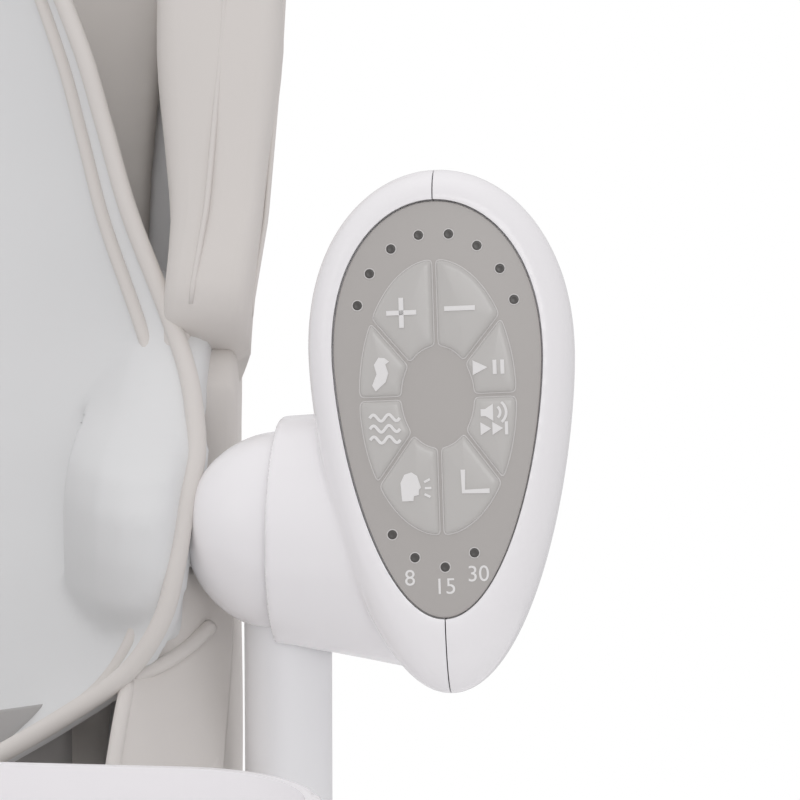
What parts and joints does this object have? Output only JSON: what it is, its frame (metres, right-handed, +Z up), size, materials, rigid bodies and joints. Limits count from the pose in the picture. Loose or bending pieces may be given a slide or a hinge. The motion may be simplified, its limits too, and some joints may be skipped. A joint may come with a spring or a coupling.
{
  "type": "baby swing",
  "caption": "Free-standing powered baby swing: padded high-back seat on two upright posts, with a tray and an egg-shaped control head beside the seat.",
  "frame": {"origin": "on the floor under the middle of the whole swing", "axes": "+Z up, +X towards the control head, -Y towards the front of the seat"},
  "size_m": [0.636, 0.6888, 0.812],
  "materials": {
    "white_tube": "satin",
    "white_gloss": "gloss",
    "white_plastic": "satin",
    "grey_panel": "satin",
    "clear_key": "gloss",
    "dark_lamp": "gloss",
    "silicone": "matte",
    "foot_rubber": "matte",
    "board_green": "satin",
    "steel": "satin",
    "bush_plastic": "satin",
    "gear_plastic": "satin",
    "beige_fabric": "matte",
    "liner_fabric": "matte",
    "webbing": "matte",
    "buckle_plastic": "satin",
    "button_red": "gloss",
    "speaker_black": "matte"
  },
  "bodies": {
    "frame": {"axle_bushes_left": "bush_plastic", "axle_bushes_right": "bush_plastic", "base_front_tube": "white_tube", "base_rear_tube": "white_tube", "base_side_rail_left": "white_tube", "base_side_rail_right": "white_tube", "circuit_board": "board_green", "control_panel": "grey_panel", "corner_joints": "white_plastic", "drive_motor": "steel", "hub_ball_left": "white_gloss", "hub_ball_right": "white_gloss", "indicator_lamps": "dark_lamp", "key_mat": "silicone", "motor_mount": "white_plastic", "pod_inner_shell": "white_gloss", "pod_left_shell": "white_gloss", "pod_outer_shell": "white_gloss", "pod_screw_posts": "white_plastic", "pod_screws": "steel", "post_left": "white_tube", "post_right": "white_tube", "post_socket_left": "white_plastic", "post_socket_right": "white_plastic", "power_inlet": "speaker_black", "rubber_feet": "foot_rubber", "socket_screws": "steel", "speaker": "speaker_black", "tube_end_caps": "white_plastic"},
    "swing_arm": {"axle_right": "steel", "drive_gear": "gear_plastic", "recline_disc_right": "white_plastic"},
    "pinion": {"motor_pinion": "gear_plastic"},
    "seat": {"axle_left": "steel", "back_pad": "beige_fabric", "harness_buckle": "buckle_plastic", "harness_straps": "webbing", "leg_pad": "beige_fabric", "newborn_insert": "liner_fabric", "recline_disc_left": "white_plastic", "seat_brace_tube": "white_tube", "seat_pad": "beige_fabric", "seat_shell": "white_plastic", "side_pad_left": "beige_fabric", "side_pad_right": "beige_fabric", "tray_rail_left": "white_plastic", "tray_rail_right": "white_plastic", "wing_left": "beige_fabric", "wing_right": "beige_fabric"},
    "tray": {"tray": "white_gloss", "tray_arms": "white_plastic"},
    "buckle_button": {"buckle_button": "button_red"},
    "key_slower": {"key_slower": "clear_key"},
    "key_play": {"key_play": "clear_key"},
    "key_volume": {"key_volume": "clear_key"},
    "key_timer": {"key_timer": "clear_key"},
    "key_voice": {"key_voice": "clear_key"},
    "key_waves": {"key_waves": "clear_key"},
    "key_melody": {"key_melody": "clear_key"},
    "key_faster": {"key_faster": "clear_key"}
  },
  "joints": [
    {"name": "seat_swing", "type": "hinge", "parent": "frame", "child": "swing_arm", "pos_m": [0.24, 0, 0.52], "axis": [1, 0, 0], "range_deg": [-12, 12]},
    {"name": "pinion_spin", "type": "hinge", "parent": "frame", "child": "pinion", "pos_m": [0.24, 0, 0.547], "axis": [1, 0, 0], "range_deg": [-25, 25]},
    {"name": "seat_recline", "type": "hinge", "parent": "swing_arm", "child": "seat", "pos_m": [0, 0, 0.52], "axis": [1, 0, 0], "range_deg": [-15, 0]},
    {"name": "tray_slide", "type": "slide", "parent": "seat", "child": "tray", "axis": [0, -1, 0], "range_m": [0, 0.06]},
    {"name": "buckle_press", "type": "slide", "parent": "seat", "child": "buckle_button", "axis": [0, 1, 0], "range_m": [0, 0.0015], "stiffness_N_per_m": 800},
    {"name": "key_slower_press", "type": "slide", "parent": "frame", "child": "key_slower", "axis": [0, 0.9781, -0.2079], "range_m": [0, 0.0008], "stiffness_N_per_m": 600},
    {"name": "key_play_press", "type": "slide", "parent": "frame", "child": "key_play", "axis": [0, 0.9781, -0.2079], "range_m": [0, 0.0008], "stiffness_N_per_m": 600},
    {"name": "key_volume_press", "type": "slide", "parent": "frame", "child": "key_volume", "axis": [0, 0.9781, -0.2079], "range_m": [0, 0.0008], "stiffness_N_per_m": 600},
    {"name": "key_timer_press", "type": "slide", "parent": "frame", "child": "key_timer", "axis": [0, 0.9781, -0.2079], "range_m": [0, 0.0008], "stiffness_N_per_m": 600},
    {"name": "key_voice_press", "type": "slide", "parent": "frame", "child": "key_voice", "axis": [0, 0.9781, -0.2079], "range_m": [0, 0.0008], "stiffness_N_per_m": 600},
    {"name": "key_waves_press", "type": "slide", "parent": "frame", "child": "key_waves", "axis": [0, 0.9781, -0.2079], "range_m": [0, 0.0008], "stiffness_N_per_m": 600},
    {"name": "key_melody_press", "type": "slide", "parent": "frame", "child": "key_melody", "axis": [0, 0.9781, -0.2079], "range_m": [0, 0.0008], "stiffness_N_per_m": 600},
    {"name": "key_faster_press", "type": "slide", "parent": "frame", "child": "key_faster", "axis": [0, 0.9781, -0.2079], "range_m": [0, 0.0008], "stiffness_N_per_m": 600}
  ],
  "couplings": [
    {"joint": "pinion_spin", "follows": "seat_swing", "ratio": -2}
  ]
}
